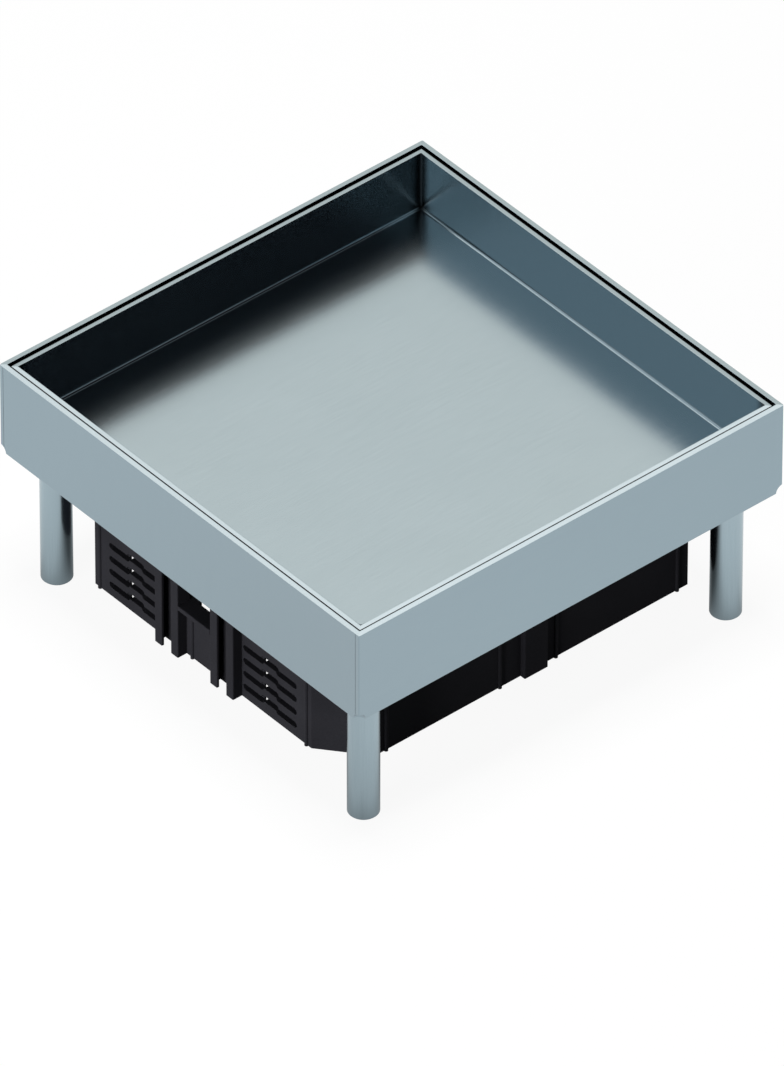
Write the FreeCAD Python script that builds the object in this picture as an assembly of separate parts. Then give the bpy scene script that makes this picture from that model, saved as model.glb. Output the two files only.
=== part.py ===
"""Square stainless floor box: folded frame on levelling legs, lift-out tray lid and moulded insert.

The feet stand on z = 0 and the frame is centred on the origin. The insert's slotted ends face -X and +X.
"""
import FreeCAD, Part
import math
import os

# Driving sizes of the frame, in millimetres
frame_side = 250.0
frame_sheet = 2.5
frame_fold_inside = 0.5      # inside radius where a wall meets the bottom flange
frame_fold_outside = 0.4     # the same edge outside, dressed nearly sharp
frame_corner_inside = 0.5    # welded upright corners
frame_corner_outside = 0.6
end_flange = 7.9             # flange width under the insert's slotted ends
side_flange = 23.2           # flange width under the insert's plain sides
relief_radius = 3.9          # round bend relief at the lower tip of each corner
joint_width = 0.2            # butt joint of the walls beside each upright corner
joint_depth = 0.6
edge_break = 0.1             # inner edges of the rims
rim_land = 0.3               # level inner part of the rims
rim_slope = 0.2              # fall from there to the rims' outer edge

# Driving sizes of the tray lid
lid_gap = 1.1
lid_drop = 0.8               # lid rim below the frame's rim
lid_recess = 32.0            # depth for the floor covering
lid_sheet = 2.5
lid_fold_inside = 1.5
lid_corner_inside = 1.5
lid_corner_outside = 1.1

# Driving sizes of the gasket under the lid
gasket_thickness = 3.0
gasket_width = 4.0

# Driving sizes of the moulded insert
insert_clearance = 0.8       # between the insert and the flange that it hangs through
insert_drop = 54.5           # insert below the frame's underside
insert_wall = 2.0
rim_thickness = 3.0
rim_clearance = 0.6          # between the insert's rim and the frame's walls
rim_corner_lap = 3.0         # how far the rim laps the flange at the cut corners
collar_height = 6.2          # upstand on the rim that carries the gasket
corner_cut_x = 18.4
corner_cut_y = 22.4
moulded_round = 0.5          # outer edges of the rails, sill and posts

# Driving sizes of the guide rails, sill and window on the slotted ends
rail_width = 5.0
rail_depth = 5.3
rail_lip = 1.3               # thickness in front of the channel behind a pair
rail_side = 1.2              # thickness beside that channel
rail_groove = 6.2            # between the two rails of a pair
rail_bay = 22.4              # between the pairs
sill_top = 30.4              # above the insert's lower edge
sill_thickness = 2.2
window_height = 19.0         # open from rail to rail above the sill
shelf_depth = 4.8            # sill carried on inside, from the wall's outer face
shelf_notch = 3.3            # the same at the notch for cables
shelf_notch_width = 12.2
shelf_lap = 6.0              # shelf past the window at each side

# Driving sizes of the slots
slot_rows = 4
slot_pitch = 7.55
slot_first = 6.5             # lowest row above the insert's lower edge
slot_height = 3.4
slot_depth = 2.8
slot_backing = 1.8           # panel behind the slots, inside the wall
slot_backing_margin = 2.0
slot_rail_margin = 1.0       # from the outermost rail
slot_end_margin = 10.1       # from the cut corner
slot_middle = 8.5            # middle stretch, set higher than the rest
slot_rise = 1.5
vent_width = 4.0             # opening through the panel behind each slot
vent_height = 3.2
vent_drop = 1.5              # below the middle of the row
vent_shift = 5.1             # off the middle of the slot

# Driving sizes of the beads and posts
bead_radius = 1.0
bead_foot = 0.3              # bead standing below the insert's lower edge
end_bead_margin = 3.4        # beads beside the cut corners, on the slotted ends
bay_bead_margin = 4.0        # beads beside the inner rails
side_bead_margin = 6.4       # beads beside the cut corners, on the plain sides
post_width = 13.8
post_depth = 3.0
post_bead_near = 7.1         # beads each side of the post
post_bead_far = 12.3

# Driving sizes of the screws that hold the insert
insert_screw_spacing = 100.0
insert_screw_radius = 2.0
insert_screw_tail = 1.5      # thread standing below the flange
insert_head_radius = 4.0
insert_head_height = 2.6
insert_head_chamfer = 0.8
insert_socket_size = 2.5
insert_socket_depth = 1.4

# Driving sizes of the legs and their screws
leg_drop = 72.0              # feet below the frame's underside
leg_inset = 17.6             # leg axis from the frame's outer faces
leg_radius = 7.5
leg_foot_chamfer = 0.5
leg_travel = 25.0
thread_grip = 20.0           # thread still engaged at full travel
thread_radius = 4.0
thread_clearance = 0.08
tip_chamfer = 1.0
bore_spare = 3.0             # bore below the tip of the screw
head_radius = 6.5
head_height = 5.0
head_chamfer = 0.6
socket_size = 5.0            # across the flats
socket_depth = 3.0
washer_radius = 8.0
washer_thickness = 1.6
ring_radius = 6.8
ring_thickness = 1.2
ring_groove = 0.5
ring_opening = 5.0
play = 0.1                   # end float of the captive screw
gusset_thickness = 3.0
gusset_clearance = 0.8
hole_clearance = 0.5

# How far cutting tools run past what they cut, and how near counts as level
overrun = 5.0
level_tolerance = 1e-6

# Levels above the surface that the feet stand on
frame_bottom = leg_drop
flange_top = frame_bottom + frame_sheet
rim_top = flange_top + rim_thickness
gasket_bottom = rim_top + collar_height
lid_bottom = gasket_bottom + gasket_thickness
lid_floor = lid_bottom + lid_sheet
lid_rim = lid_floor + lid_recess
frame_top = lid_rim + lid_drop
frame_height = frame_top - frame_bottom
insert_bottom = frame_bottom - insert_drop
gusset_top = flange_top + gusset_thickness
washer_top = gusset_top + washer_thickness
head_bottom = washer_top + play
ring_top = frame_bottom - play
ring_bottom = ring_top - ring_thickness
leg_top = ring_bottom - play
screw_tip = leg_top - leg_travel - thread_grip

# Half sizes in plan
frame_half = frame_side / 2
frame_inner = frame_half - frame_sheet
lid_half = frame_inner - lid_gap
opening_x = frame_half - end_flange
opening_y = frame_half - side_flange
insert_x = opening_x - insert_clearance - rail_depth
insert_y = opening_y - insert_clearance - post_depth
flat_x = insert_x - corner_cut_x
flat_y = insert_y - corner_cut_y
rim_half = frame_inner - rim_clearance
rails_half = rail_bay / 2 + rail_groove + 2 * rail_width
leg_place = frame_half - leg_inset
leg_bore = thread_radius + thread_clearance
screw_hole = thread_radius + hole_clearance
insert_screw_bore = insert_screw_radius + thread_clearance
insert_screw_hole = insert_screw_radius + hole_clearance
gasket_step = gasket_width - insert_wall
insert_screw_y = (insert_y + rim_half) / 2

CORNERS = {"front": (-1, -1), "right": (1, -1), "back": (1, 1), "left": (-1, 1)}


def vec(x, y, z):
    return FreeCAD.Vector(x, y, z)


def prism(points, low, high):
    """Upright solid over a closed outline in plan."""
    corners = [vec(x, y, low) for x, y in points]
    face = Part.Face(Part.makePolygon(corners + corners[:1]))
    return face.extrude(vec(0, 0, high - low))


def box(x0, x1, y0, y1, z0, z1):
    return Part.makeBox(x1 - x0, y1 - y0, z1 - z0, vec(x0, y0, z0))


def half_turn(shape):
    """Copy on the other end of the object, turned about the upright axis."""
    copy = shape.copy()
    copy.rotate(vec(0, 0, 0), vec(0, 0, 1), 180)
    return copy


def upright_edges(shape):
    return [e for e in shape.Edges if abs(e.tangentAt(e.FirstParameter).z) > 1 - level_tolerance]


def edges_at(shape, level):
    """Edges that lie flat at one level."""
    spans = [(e, e.BoundBox.ZMin - level, e.BoundBox.ZMax - level) for e in shape.Edges]
    return [e for e, low, high in spans if abs(low) + abs(high) < level_tolerance]


def edges_along_y(shape, level):
    return [e for e in edges_at(shape, level) if abs(e.tangentAt(e.FirstParameter).y) > 1 - level_tolerance]


def inner_loop(shape, level, half):
    """Edges that lie flat at one level, no further than half from the middle."""
    spans = [(e, e.BoundBox) for e in edges_at(shape, level)]
    reach = [(e, max(b.XMax, b.YMax, -b.XMin, -b.YMin)) for e, b in spans]
    return [e for e, far in reach if far < half + level_tolerance]


def folded_form(half, sheet, low, high, fold, corner):
    """Square block with folded lower edges and a rim that slopes outwards, which meet in mitres."""
    land = half - sheet + rim_land
    right = [(half, low), (half, high - rim_slope), (land, high)]
    profile = right + [(-x, z) for x, z in reversed(right)]
    corners = [vec(x, -half, z) for x, z in profile]
    along = Part.Face(Part.makePolygon(corners + corners[:1])).extrude(vec(0, 2 * half, 0))
    along = along.makeFillet(fold, edges_along_y(along, low))
    across = along.copy()
    across.rotate(vec(0, 0, 0), vec(0, 0, 1), 90)
    block = box(-half, half, -half, half, low, high)
    upright = block.makeFillet(corner, upright_edges(block))
    return along.common(across).common(upright)


def insert_outline(half_x, half_y, offset):
    """Octagon with sides at half_x and half_y, and corner faces that lie offset outside the insert's own."""
    length = math.hypot(corner_cut_x, corner_cut_y)
    nx = corner_cut_y / length
    ny = corner_cut_x / length
    reach = nx * insert_x + ny * flat_y + offset
    end_y = (reach - nx * half_x) / ny
    end_x = (reach - ny * half_y) / nx
    first = [(half_x, end_y), (end_x, half_y)]
    second = [(-x, y) for x, y in reversed(first)]
    return first + second + [(-x, -y) for x, y in first + second]


def hexagon(across_flats, x, y):
    radius = across_flats / math.sqrt(3)
    angles = [math.radians(60 * step) for step in range(6)]
    return [(x + radius * math.cos(a), y + radius * math.sin(a)) for a in angles]


def tube(outer, inner, low, high, x, y):
    solid = Part.makeCylinder(outer, high - low, vec(x, y, low))
    return solid.cut(Part.makeCylinder(inner, high - low, vec(x, y, low)))


def turned(profile, x, y):
    """Solid turned from a closed profile of radius and height, about an upright axis."""
    corners = [vec(x + r, y, z) for r, z in profile]
    face = Part.Face(Part.makePolygon(corners + corners[:1]))
    return face.revolve(vec(x, y, 0), vec(0, 0, 1), 360)


def insert_screw_places():
    half = insert_screw_spacing / 2
    return [(x, y) for x in (-half, half) for y in (-insert_screw_y, insert_screw_y)]


def make_frame():
    edges = (frame_fold_outside, frame_corner_outside)
    outer = folded_form(frame_half, frame_sheet, frame_bottom, frame_top, *edges)
    past = frame_top + overrun
    edges = (frame_fold_inside, frame_corner_inside)
    inner = folded_form(frame_inner, frame_sheet, flange_top, past, *edges)
    cuts = [prism(insert_outline(opening_x, opening_y, insert_clearance), frame_bottom - overrun, frame_top)]
    for side_x, side_y in CORNERS.values():
        x = side_x * leg_place
        y = side_y * leg_place
        cuts.append(Part.makeCylinder(screw_hole, frame_height, vec(x, y, frame_bottom)))
        cuts += corner_cuts(side_x, side_y)
    for x, y in insert_screw_places():
        cuts.append(Part.makeCylinder(insert_screw_bore, frame_height, vec(x, y, frame_bottom)))
    solid = outer.cut(inner).cut(cuts)
    return solid.makeFillet(edge_break, inner_loop(solid, frame_top, frame_inner))


def corner_cuts(side_x, side_y):
    """Cutters for the bend relief and the butt joint of one upright corner."""
    relief = Part.makeSphere(relief_radius, vec(side_x * frame_half, side_y * frame_half, frame_bottom))
    x0, x1 = sorted((side_x * frame_half, side_x * (frame_half - joint_depth)))
    y = side_y * frame_inner
    half = joint_width / 2
    joint = box(x0, x1, y - half, y + half, frame_bottom, frame_top - rim_slope)
    return [relief, joint]


def make_lid_tray():
    fold = lid_fold_inside + lid_sheet
    outer = folded_form(lid_half, lid_sheet, lid_bottom, lid_rim, fold, lid_corner_outside)
    inside = lid_half - lid_sheet
    past = lid_rim + overrun
    inner = folded_form(inside, lid_sheet, lid_floor, past, lid_fold_inside, lid_corner_inside)
    solid = outer.cut(inner)
    return solid.makeFillet(edge_break, inner_loop(solid, lid_rim, inside))


def make_lid_gasket():
    return prism(insert_ring(gasket_step), gasket_bottom, lid_bottom).cut(insert_cavity())


def insert_ring(offset):
    """Outline that lies the same distance outside the insert's walls all round."""
    return insert_outline(insert_x + offset, insert_y + offset, offset)


def insert_cavity():
    return prism(insert_ring(-insert_wall), insert_bottom - overrun, lid_bottom + overrun)


def rail_starts():
    """Lower Y of each rail on a slotted end."""
    near = rail_bay / 2
    far = near + rail_width + rail_groove
    return [-far - rail_width, -near - rail_width, near, far]


def insert_rails():
    """Guide rails and the sill between them, on the -X end."""
    outside = -insert_x - rail_depth
    inside = -insert_x + insert_wall
    bars = []
    for y in rail_starts():
        bar = box(outside, inside, y, y + rail_width, insert_bottom, flange_top)
        outer_edges = [e for e in upright_edges(bar) if e.CenterOfMass.x < -insert_x]
        bars.append(bar.makeFillet(moulded_round, outer_edges))
    top = insert_bottom + sill_top
    sill = box(outside, inside, -rail_bay / 2, rail_bay / 2, top - sill_thickness, top)
    upper_edge = [e for e in edges_along_y(sill, top) if e.CenterOfMass.x < -insert_x]
    return bars + [sill.makeFillet(moulded_round, upper_edge)]


def rail_channels():
    """Cutters for the channels behind the rail pairs of the -X end, open below."""
    x0 = -insert_x - rail_depth + rail_lip
    near = rail_bay / 2 + rail_side
    far = rails_half - rail_side
    low = insert_bottom - overrun
    return [box(x0, -insert_x, y0, y1, low, frame_bottom) for y0, y1 in ((-far, -near), (near, far))]


def window_shelf():
    """The sill carried on inside the -X end, notched for cables."""
    inside = -insert_x + shelf_depth
    half = rail_bay / 2 + shelf_lap
    notch = shelf_notch_width / 2
    high = insert_bottom + sill_top
    low = high - sill_thickness
    shelf = box(-insert_x + insert_wall, inside, -half, half, low, high)
    return shelf.cut(box(-insert_x + shelf_notch, inside, -notch, notch, low, high))


def insert_window():
    low = insert_bottom + sill_top
    half = rail_bay / 2
    return box(-insert_x - rail_depth, -insert_x + insert_wall, -half, half, low, low + window_height)


def bead(x, y):
    low = insert_bottom - bead_foot
    return Part.makeCylinder(bead_radius, flange_top - low, vec(x, y, low))


def insert_beads():
    """Beads on the -X end and the -Y side."""
    end = flat_y - end_bead_margin
    bay = rail_bay / 2 - bay_bead_margin
    side = flat_x - side_bead_margin
    near = post_width / 2 + post_bead_near
    far = post_width / 2 + post_bead_far
    on_end = [bead(-insert_x, y) for y in (-end, -bay, bay, end)]
    on_side = [bead(x, -insert_y) for x in (-side, -far, near, side)]
    return on_end + on_side


def insert_post():
    half = post_width / 2
    bar = box(-half, half, -insert_y - post_depth, -insert_y + insert_wall, insert_bottom, flange_top)
    outer_edges = [e for e in upright_edges(bar) if e.CenterOfMass.y < -insert_y]
    return bar.makeFillet(moulded_round, outer_edges)


def slot_cut(y0, y1, middle):
    """Blind cut with round ends in the -X end, between two places along Y."""
    radius = slot_height / 2
    face_x = -insert_x - overrun
    low = middle - radius
    high = middle + radius
    near_low = vec(face_x, y0 + radius, low)
    near_high = vec(face_x, y0 + radius, high)
    far_low = vec(face_x, y1 - radius, low)
    far_high = vec(face_x, y1 - radius, high)
    edges = [
        Part.LineSegment(near_low, far_low),
        Part.Arc(far_low, vec(face_x, y1, middle), far_high),
        Part.LineSegment(far_high, near_high),
        Part.Arc(near_high, vec(face_x, y0, middle), near_low),
    ]
    outline = Part.Wire([edge.toShape() for edge in edges])
    return Part.Face(outline).extrude(vec(overrun + slot_depth, 0, 0))


def slot_stretch():
    """Where the slots of one panel start and end, along Y."""
    return rails_half + slot_rail_margin, flat_y - slot_end_margin


def slot_backings():
    """Panels behind the slots, inside the -X end."""
    start, end = slot_stretch()
    near = start - slot_backing_margin
    far = end + slot_backing_margin
    x0 = -insert_x + insert_wall
    high = insert_bottom + slot_first + slot_rows * slot_pitch
    sides = ((-far, -near), (near, far))
    return [box(x0, x0 + slot_backing, y0, y1, insert_bottom, high) for y0, y1 in sides]


def insert_slots():
    """Slots of the -X end: two stretches, a higher one between them and a vent through the panel behind."""
    start, end = slot_stretch()
    centre = (start + end) / 2
    half = slot_middle / 2
    lap = slot_height / 2
    x0 = -insert_x + slot_depth
    x1 = -insert_x + insert_wall + slot_backing
    cuts = []
    for row in range(slot_rows):
        middle = insert_bottom + slot_first + row * slot_pitch
        low = middle - vent_drop - vent_height / 2
        for y0, y1 in ((start, end), (-end, -start)):
            around = math.copysign(centre, y0)
            cuts.append(slot_cut(y0, around - half, middle))
            cuts.append(slot_cut(around + half, y1, middle))
            cuts.append(slot_cut(around - half - lap, around + half + lap, middle + slot_rise))
            vent = around + vent_shift - vent_width / 2
            cuts.append(box(x0, x1, vent, vent + vent_width, low, low + vent_height))
    return cuts


def make_insert():
    body = prism(insert_ring(0), insert_bottom, rim_top)
    rim = prism(insert_outline(rim_half, rim_half, insert_clearance + rim_corner_lap), flange_top, rim_top)
    collar = prism(insert_ring(gasket_step), rim_top, gasket_bottom)
    added = insert_rails() + insert_beads() + [insert_post()]
    solid = body.fuse([rim, collar] + added + [half_turn(piece) for piece in added])
    cuts = insert_slots() + rail_channels() + [insert_window()]
    cuts += [half_turn(cut) for cut in cuts]
    for x, y in insert_screw_places():
        cuts.append(Part.makeCylinder(insert_screw_hole, rim_thickness, vec(x, y, flange_top)))
    inside = slot_backings() + [window_shelf()]
    inside += [half_turn(piece) for piece in inside]
    solid = solid.cut(insert_cavity()).fuse(inside).cut(cuts)
    return solid.removeSplitter()


def make_insert_screws():
    top = rim_top + insert_head_height
    screws = []
    for x, y in insert_screw_places():
        shank = Part.makeCylinder(insert_screw_radius, rim_top - frame_bottom + insert_screw_tail,
                                  vec(x, y, frame_bottom - insert_screw_tail))
        head = Part.makeCylinder(insert_head_radius, insert_head_height, vec(x, y, rim_top))
        head = head.makeChamfer(insert_head_chamfer, edges_at(head, top))
        socket = prism(hexagon(insert_socket_size, x, y), top - insert_socket_depth, top)
        screws.append(head.fuse(shank).cut(socket).removeSplitter())
    return Part.makeCompound(screws)


def make_gusset(side_x, side_y):
    """Three-cornered plate in one corner of the flange, beside the insert's rim."""
    edge = frame_inner - gusset_clearance
    offset = insert_clearance + rim_corner_lap + gusset_clearance
    first, second = insert_outline(edge, edge, offset)[:2]
    points = [(side_x * x, side_y * y) for x, y in (first, (edge, edge), second)]
    plate = prism(points, flange_top, gusset_top)
    x = side_x * leg_place
    y = side_y * leg_place
    return plate.cut(Part.makeCylinder(leg_bore, gusset_thickness, vec(x, y, flange_top)))


def make_leg(x, y):
    leg = Part.makeCylinder(leg_radius, leg_top, vec(x, y, 0))
    leg = leg.makeChamfer(leg_foot_chamfer, edges_at(leg, 0))
    leg = leg.makeChamfer(edge_break, edges_at(leg, leg_top))
    bore_bottom = screw_tip - bore_spare
    return leg.cut(Part.makeCylinder(leg_bore, leg_top - bore_bottom, vec(x, y, bore_bottom)))


def make_levelling_screw(x, y):
    top = head_bottom + head_height
    neck = thread_radius - ring_groove
    profile = [
        (0, screw_tip),
        (thread_radius - tip_chamfer, screw_tip),
        (thread_radius, screw_tip + tip_chamfer),
        (thread_radius, ring_bottom),
        (neck, ring_bottom),
        (neck, ring_top),
        (thread_radius, ring_top),
        (thread_radius, head_bottom),
        (head_radius, head_bottom),
        (head_radius, top - head_chamfer),
        (head_radius - head_chamfer, top),
        (0, top),
    ]
    return turned(profile, x, y).cut(prism(hexagon(socket_size, x, y), top - socket_depth, top))


def make_retaining_ring(x, y):
    inside = thread_radius - ring_groove + thread_clearance
    ring = tube(ring_radius, inside, ring_bottom, ring_top, x, y)
    half = ring_opening / 2
    return ring.cut(box(x, x + ring_radius, y - half, y + half, ring_bottom, ring_top))


def make_screw_washers():
    washers = []
    for side_x, side_y in CORNERS.values():
        x = side_x * leg_place
        y = side_y * leg_place
        washers.append(tube(washer_radius, screw_hole, gusset_top, washer_top, x, y))
    return Part.makeCompound(washers)


def make_nodes():
    nodes = {
        "frame": make_frame(),
        "lid_tray": make_lid_tray(),
        "lid_gasket": make_lid_gasket(),
        "insert": make_insert(),
        "insert_screws": make_insert_screws(),
        "screw_washers": make_screw_washers(),
    }
    for corner, (side_x, side_y) in CORNERS.items():
        x = side_x * leg_place
        y = side_y * leg_place
        nodes["gusset_" + corner] = make_gusset(side_x, side_y)
        nodes["leg_" + corner] = make_leg(x, y)
        nodes["levelling_screw_" + corner] = make_levelling_screw(x, y)
        nodes["retaining_ring_" + corner] = make_retaining_ring(x, y)
    return nodes


os.makedirs("parts", exist_ok=True)
for name, shape in make_nodes().items():
    shape.exportStep(os.path.join("parts", name + ".step"))
    print(name, len(shape.Solids), "solids", round(shape.Volume), "mm3, valid:", shape.isValid())
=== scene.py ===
"""Square stainless floor box on levelling legs: finishes, threaded screws, light and camera."""
import math

import bmesh
import bpy
from bpy.props import FloatProperty, FloatVectorProperty, IntProperty, PointerProperty
from mathutils import Matrix, Vector


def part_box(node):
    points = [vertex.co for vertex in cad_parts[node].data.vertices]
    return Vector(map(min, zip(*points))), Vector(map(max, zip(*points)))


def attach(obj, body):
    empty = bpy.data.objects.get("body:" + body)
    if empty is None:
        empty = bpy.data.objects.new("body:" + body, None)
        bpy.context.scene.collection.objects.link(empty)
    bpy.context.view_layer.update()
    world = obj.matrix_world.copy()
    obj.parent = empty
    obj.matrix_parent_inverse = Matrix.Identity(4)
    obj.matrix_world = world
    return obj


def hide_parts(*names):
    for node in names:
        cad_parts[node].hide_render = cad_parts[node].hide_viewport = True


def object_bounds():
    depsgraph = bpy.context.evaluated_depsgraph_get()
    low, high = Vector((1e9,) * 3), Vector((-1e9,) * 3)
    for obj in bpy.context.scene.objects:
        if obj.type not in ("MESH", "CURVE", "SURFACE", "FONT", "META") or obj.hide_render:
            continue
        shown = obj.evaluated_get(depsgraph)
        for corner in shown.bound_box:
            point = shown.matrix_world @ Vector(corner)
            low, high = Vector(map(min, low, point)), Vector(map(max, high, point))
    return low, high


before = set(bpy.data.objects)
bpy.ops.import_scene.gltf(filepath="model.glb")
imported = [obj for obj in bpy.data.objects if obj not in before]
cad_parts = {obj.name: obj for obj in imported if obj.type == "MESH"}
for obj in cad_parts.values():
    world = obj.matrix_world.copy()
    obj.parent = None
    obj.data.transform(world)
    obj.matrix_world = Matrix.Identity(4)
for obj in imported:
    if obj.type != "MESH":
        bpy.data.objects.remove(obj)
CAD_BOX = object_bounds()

bl_info = {
    "name": "Square floor box",
    "version": (1, 0, 0),
    "blender": (4, 5, 0),
    "location": "3D View > Sidebar > Floor Box",
    "description": "Dresses a square stainless floor box and sets it on a white studio floor",
    "category": "Object",
}

CORNERS = ("front", "right", "back", "left")
WHITE = (1.0, 1.0, 1.0, 1.0)

# Ridge of a thread: depth inside the core and width of its foot in pitches, and the crest's share of that
RIDGE_SINK, RIDGE_FOOT, RIDGE_CREST = 0.1, 0.98, 0.125
# Radius of a screw's point as a share of the core
POINT = 0.8
# Drilled foot of a hexagon socket: radius and depth as shares of the hexagon's corner radius
DRILL_RADIUS, DRILL_DEPTH = 0.5, 0.2
# Vertices this close are one, in metres
WELD = 1e-7
# Edges of a screw that turn less than this are shaded smooth
SMOOTH_TURN = math.radians(32)

# What the steel mirrors, laid over plain white in this order: azimuth and elevation of a zone, counted as the
# camera's are, the angles from there at which its light begins and is full, all in degrees, and that light.
MIRRORED_ZONES = (
    # Warm backdrop that the tray floor mirrors
    (139.61, 39.25, 32.90, 18.26, (1.24, 1.16, 1.07)),
    # Bright ceiling for the rims and folded edges, calmer right overhead
    (0.0, 90.0, 50.43, 38.28, (2.9, 2.55, 2.4)),
    (0.0, 90.0, 30.68, 14.07, (1.5, 1.4, 1.35)),
    # Ceiling dimmed on both sides, for the fold lines along the foot of the inner walls
    (-84.81, 56.36, 32.59, 19.46, (0.8, 0.85, 0.9)),
    (73.30, 58.53, 28.36, 18.20, (0.35, 0.35, 0.35)),
    # Cool side that one inner wall mirrors
    (-139.61, 39.25, 28.40, 18.26, (0.76, 0.80, 0.83)),
    # Bright and dark cards each side of the camera, which part the two walls in the inner back corner
    (-65.35, 39.26, 21.61, 15.27, (2.5, 2.15, 2.0)),
    (-15.42, 39.25, 21.65, 16.37, (0.03, 0.03, 0.03)),
    # Low dark card, and calm ceiling above the bright card
    (-53.13, 5.71, 28.88, 19.04, (0.03, 0.03, 0.03)),
    (-76.50, 59.04, 24.42, 16.15, (0.8, 0.85, 0.9)),
    # Black flag that the other inner wall mirrors, with a dim edge
    (40.43, 44.82, 45.58, 32.87, (0.3, 0.3, 0.3)),
    (40.43, 44.82, 31.80, 21.58, (0.018, 0.015, 0.018)),
)


def linear(hex_colour):
    """Linear red, green and blue of an sRGB hex colour."""
    channels = [int(hex_colour[i:i + 2], 16) / 255 for i in (0, 2, 4)]
    return tuple(c / 12.92 if c <= 0.04045 else ((c + 0.055) / 1.055) ** 2.4 for c in channels)


def colour(name, description, hex_colour):
    """Colour property with an sRGB hex default."""
    return FloatVectorProperty(name=name, description=description, subtype="COLOR", size=3, min=0, max=1,
                               default=linear(hex_colour))


def length(name, description, metres):
    """Length property with a default in metres."""
    return FloatProperty(name=name, description=description, unit="LENGTH", min=0, precision=5,
                         default=metres)


def lengths(name, description, metres):
    """Property for a place or for several lengths, in metres."""
    return FloatVectorProperty(name=name, description=description, unit="LENGTH", size=len(metres),
                               default=metres)


def fraction(name, description, default):
    """Property that goes from none to all."""
    return FloatProperty(name=name, description=description, subtype="FACTOR", min=0, max=1, default=default)


def angle(name, description, degrees):
    """Angle property with a default in degrees."""
    return FloatProperty(name=name, description=description, subtype="ANGLE", default=math.radians(degrees))


def power(name, description, watts):
    """Property for a lamp's power."""
    return FloatProperty(name=name, description=description, unit="POWER", min=0, default=watts)


class FloorBoxFinishes(bpy.types.PropertyGroup):
    """Colours, grain sizes and gloss of the box's materials."""

    sheet_colour: colour("Sheet", "Rolled stainless sheet of the frame, tray and gussets", "98AAB2")
    sheet_dull: colour("Sheet grain", "Darker streaks of the rolling grain", "91A3AC")
    sheet_grain: length("Sheet grain width", "Width of one streak of the rolling grain", 0.0007)
    sheet_streak: fraction("Sheet streak shape", "Width of one streak as a share of its length", 0.06)
    sheet_cloud: length("Sheet clouding", "Size of one cloud in the sheet's gloss", 0.0455)
    sheet_roughness: fraction("Sheet roughness", "Blur of the sheet's reflections", 0.21)
    sheet_unevenness: fraction("Sheet unevenness", "Rise and fall of that blur over the sheet", 0.02)
    wall_bow: angle("Wall bow", "Lean of the walls' shading at their ends, towards their middle", 5.0)
    # Painted shade: a dark line along the edge of the lid's rim that widens the shadow of the gap round the
    # lid
    painted_gap_shade: colour("Darkening", "Soil along the edge of the lid's rim", "2E3133")
    painted_gap_shade_width: length("Soil line", "Width of the darkened edge of the lid's rim", 0.0003)
    # Painted shade: soft dark patches down the lid's inner corners, darkening the walls there
    painted_corner_shade: colour("Corner soil", "Soil and weld shade in the lid's inner corners", "111315")
    painted_corner_shade_reach: length("Soil patch", "Reach of the soil from each inner corner of the lid", 0.007)
    painted_corner_shade_depth: fraction("Soil in corners", "Share of soil in the very corner", 0.97)
    lid_sheet: length("Lid sheet", "Thickness of the lid's sheet", 0.0025)
    bar_colour: colour("Leg bar", "Drawn stainless bar of the legs", "A1B3BB")
    bar_dull: colour("Leg draw lines", "Darker lines left by the drawing die", "9DAFB7")
    bar_line: length("Draw line width", "Width of one line left by the drawing die", 0.0006)
    bar_streak: fraction("Draw line shape", "Width of one draw line as a share of its length", 0.02)
    plating_colour: colour("Zinc plating", "Bright zinc of the screws and washers", "C3C6C9")
    plating_warm: colour("Passivation", "Faint straw tint of the passivated zinc", "C9C2AE")
    plating_bloom: length("Passivation bloom", "Size of one straw patch", 0.00303)
    plating_crystal: length("Zinc crystal", "Size of one crystal of the zinc", 0.0004)
    spring_colour: colour("Spring steel", "Phosphated spring steel of the retaining rings", "3A3B3D")
    spring_crystal: length("Phosphate crystal", "Size of one crystal of the phosphate skin", 0.000303)
    plastic_colour: colour("Black plastic", "Black moulded insert", "29292D")
    plastic_grain: length("Moulded texture", "Size of one grain of the eroded mould", 0.0008)
    plastic_flow: length("Flow marks", "Size of one flow mark in the moulding", 0.0222)
    rubber_colour: colour("Gasket rubber", "Black sponge rubber", "1C1C1D")
    rubber_cell: length("Rubber cell", "Size of one cell of the sponge rubber", 0.0006)


class FloorBoxScrews(bpy.types.PropertyGroup):
    """Sizes of the modelled screws."""

    levelling_radius: length("Levelling thread", "Crest radius of the levelling thread", 0.00396)
    levelling_core: length("Levelling core", "Root radius of the levelling thread", 0.00323)
    levelling_pitch: length("Levelling pitch", "Rise of the levelling thread in one turn", 0.00125)
    levelling_socket: length("Levelling socket", "Hexagon socket across its flats", 0.005)
    levelling_socket_depth: length("Levelling socket depth", "Depth of the hexagon socket", 0.003)
    levelling_groove: length("Ring groove", "Depth of the retaining ring's groove", 0.0005)
    levelling_edge: length("Head edge", "Chamfer on top of the levelling screw's head", 0.0006)
    insert_head: length("Insert head radius", "Radius of the insert screw's head", 0.004)
    insert_head_height: length("Insert head height", "Height of the insert screw's head", 0.0026)
    insert_radius: length("Insert thread", "Crest radius of the insert screw's thread", 0.00198)
    insert_core: length("Insert core", "Root radius of the insert screw's thread", 0.0016)
    insert_pitch: length("Insert pitch", "Rise of the insert screw's thread in one turn", 0.0007)
    insert_socket: length("Insert socket", "Hexagon socket across its flats", 0.0025)
    insert_socket_depth: length("Insert socket depth", "Depth of the hexagon socket", 0.0014)
    insert_edge: length("Insert head edge", "Chamfer on top of the insert screw's head", 0.0008)
    thread_steps: IntProperty(name="Thread steps", description="Straight steps in one turn of a thread",
                              min=8, max=64, default=24)


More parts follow.
